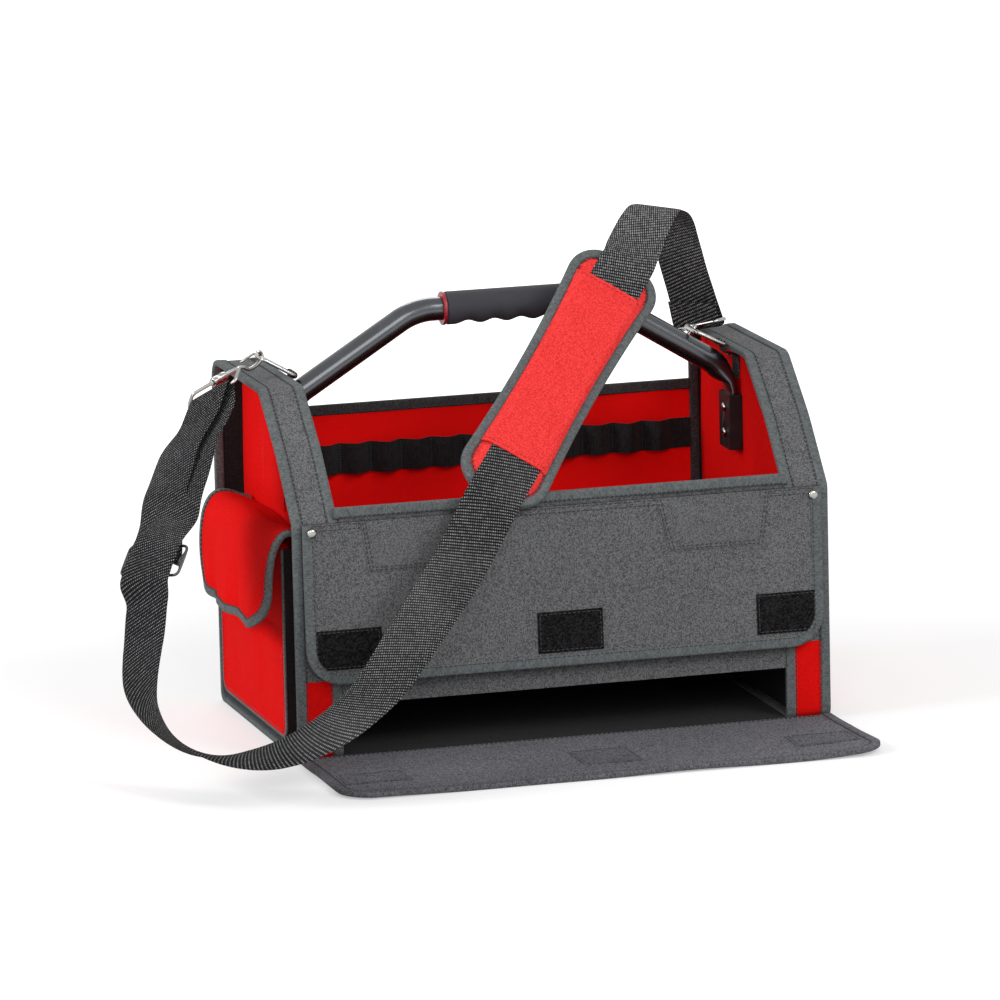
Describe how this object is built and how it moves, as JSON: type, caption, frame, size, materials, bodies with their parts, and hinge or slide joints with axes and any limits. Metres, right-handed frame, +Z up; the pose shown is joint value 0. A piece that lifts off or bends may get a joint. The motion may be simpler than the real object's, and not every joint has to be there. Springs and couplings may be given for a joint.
{
  "type": "open-top tool tote",
  "caption": "Open-top fabric tool tote with gable ends, bent tube handle, drop-front compartment, flapped end pockets and a padded shoulder strap.",
  "frame": {"origin": "centre of the base panel's underside, on the ground", "axes": "+X to the right along the body's length, +Y from the front apron to the back wall, +Z up"},
  "size_m": [0.6936, 0.4843, 0.4507],
  "materials": {
    "grey_fabric": "heathered woven polyester, matte",
    "red_fabric": "woven polyester, matte",
    "binding_tape": "folded woven tape, matte",
    "hook_tape": "hook and loop tape",
    "elastic": "woven elastic",
    "webbing": "ribbed polyester webbing",
    "pad_foam": "fabric-faced foam",
    "grip_foam": "closed-cell foam, matte",
    "red_plastic": "moulded, satin",
    "black_plastic": "moulded, satin",
    "gunmetal": "dark metallic lacquer, glossy",
    "steel": "nickel plated, bright"
  },
  "bodies": {
    "carcass": {"base_panel": "grey_fabric", "raised_floor": "red_fabric", "front_wall": "grey_fabric", "front_wall_binding": "binding_tape", "back_wall": "red_fabric", "back_wall_binding": "binding_tape", "left_end_wall": "red_fabric", "right_end_wall": "red_fabric", "left_end_band": "grey_fabric", "right_end_band": "grey_fabric", "left_band_inner_binding": "binding_tape", "left_band_outer_binding": "binding_tape", "right_band_inner_binding": "binding_tape", "right_band_outer_binding": "binding_tape", "front_apron": "grey_fabric", "front_apron_binding": "binding_tape", "apron_hook_patch_left": "hook_tape", "apron_hook_patch_centre": "hook_tape", "apron_hook_patch_right": "hook_tape", "apron_rivet_left": "steel", "apron_rivet_right": "steel", "left_end_pocket": "red_fabric", "right_end_pocket": "red_fabric", "handle_tube": "gunmetal", "handle_grip": "grip_foam", "handle_grip_ring": "red_plastic", "left_handle_bracket": "black_plastic", "right_handle_bracket": "black_plastic", "handle_rivet_left_lower": "steel", "handle_rivet_left_upper": "steel", "handle_rivet_right_lower": "steel", "handle_rivet_right_upper": "steel", "tool_loops_left": "elastic", "tool_loops_centre": "elastic", "tool_loops_right": "elastic", "left_ring_tab": "webbing", "right_ring_tab": "webbing", "left_ring": "steel", "right_ring": "steel", "left_hook": "steel", "right_hook": "steel", "left_webbing_loop": "steel", "right_webbing_loop": "steel", "shoulder_strap": "webbing", "strap_slider": "steel"},
    "front_flap": {"lower_flap": "grey_fabric", "lower_flap_binding": "binding_tape", "flap_loop_patch_left": "hook_tape", "flap_loop_patch_centre": "hook_tape", "flap_loop_patch_right": "hook_tape"},
    "left_flap": {"left_pocket_flap": "red_fabric"},
    "right_flap": {"right_pocket_flap": "red_fabric"},
    "left_hook_gate": {"left_gate": "steel"},
    "right_hook_gate": {"right_gate": "steel"},
    "pad": {"shoulder_pad": "pad_foam", "shoulder_pad_cover": "red_fabric"}
  },
  "joints": [
    {"name": "front_flap_hinge", "type": "hinge", "parent": "carcass", "child": "front_flap", "pos_m": [0, -0.1436, 0.0054], "axis": [-1, 0, 0], "range_deg": [0, 80]},
    {"name": "left_flap_hinge", "type": "hinge", "parent": "carcass", "child": "left_flap", "pos_m": [-0.22299, 0, 0.19418], "axis": [0, 1, 0], "range_deg": [-14, 68]},
    {"name": "right_flap_hinge", "type": "hinge", "parent": "carcass", "child": "right_flap", "pos_m": [0.22299, 0, 0.19418], "axis": [0, -1, 0], "range_deg": [-14, 68]},
    {"name": "left_gate_hinge", "type": "hinge", "parent": "carcass", "child": "left_hook_gate", "pos_m": [-0.25397, 0.01505, 0.3381], "axis": [-0.4939, 0.8573, -0.1456], "range_deg": [0, 16], "stiffness_Nm_per_rad": 0.002},
    {"name": "right_gate_hinge", "type": "hinge", "parent": "carcass", "child": "right_hook_gate", "pos_m": [0.189, 0.06325, 0.33404], "axis": [0.8549, -0.2567, -0.4509], "range_deg": [0, 16], "stiffness_Nm_per_rad": 0.002},
    {"name": "pad_slide", "type": "slide", "parent": "carcass", "child": "pad", "axis": [0.6001, 0.5139, 0.613], "range_m": [-0.004, 0.004]}
  ]
}
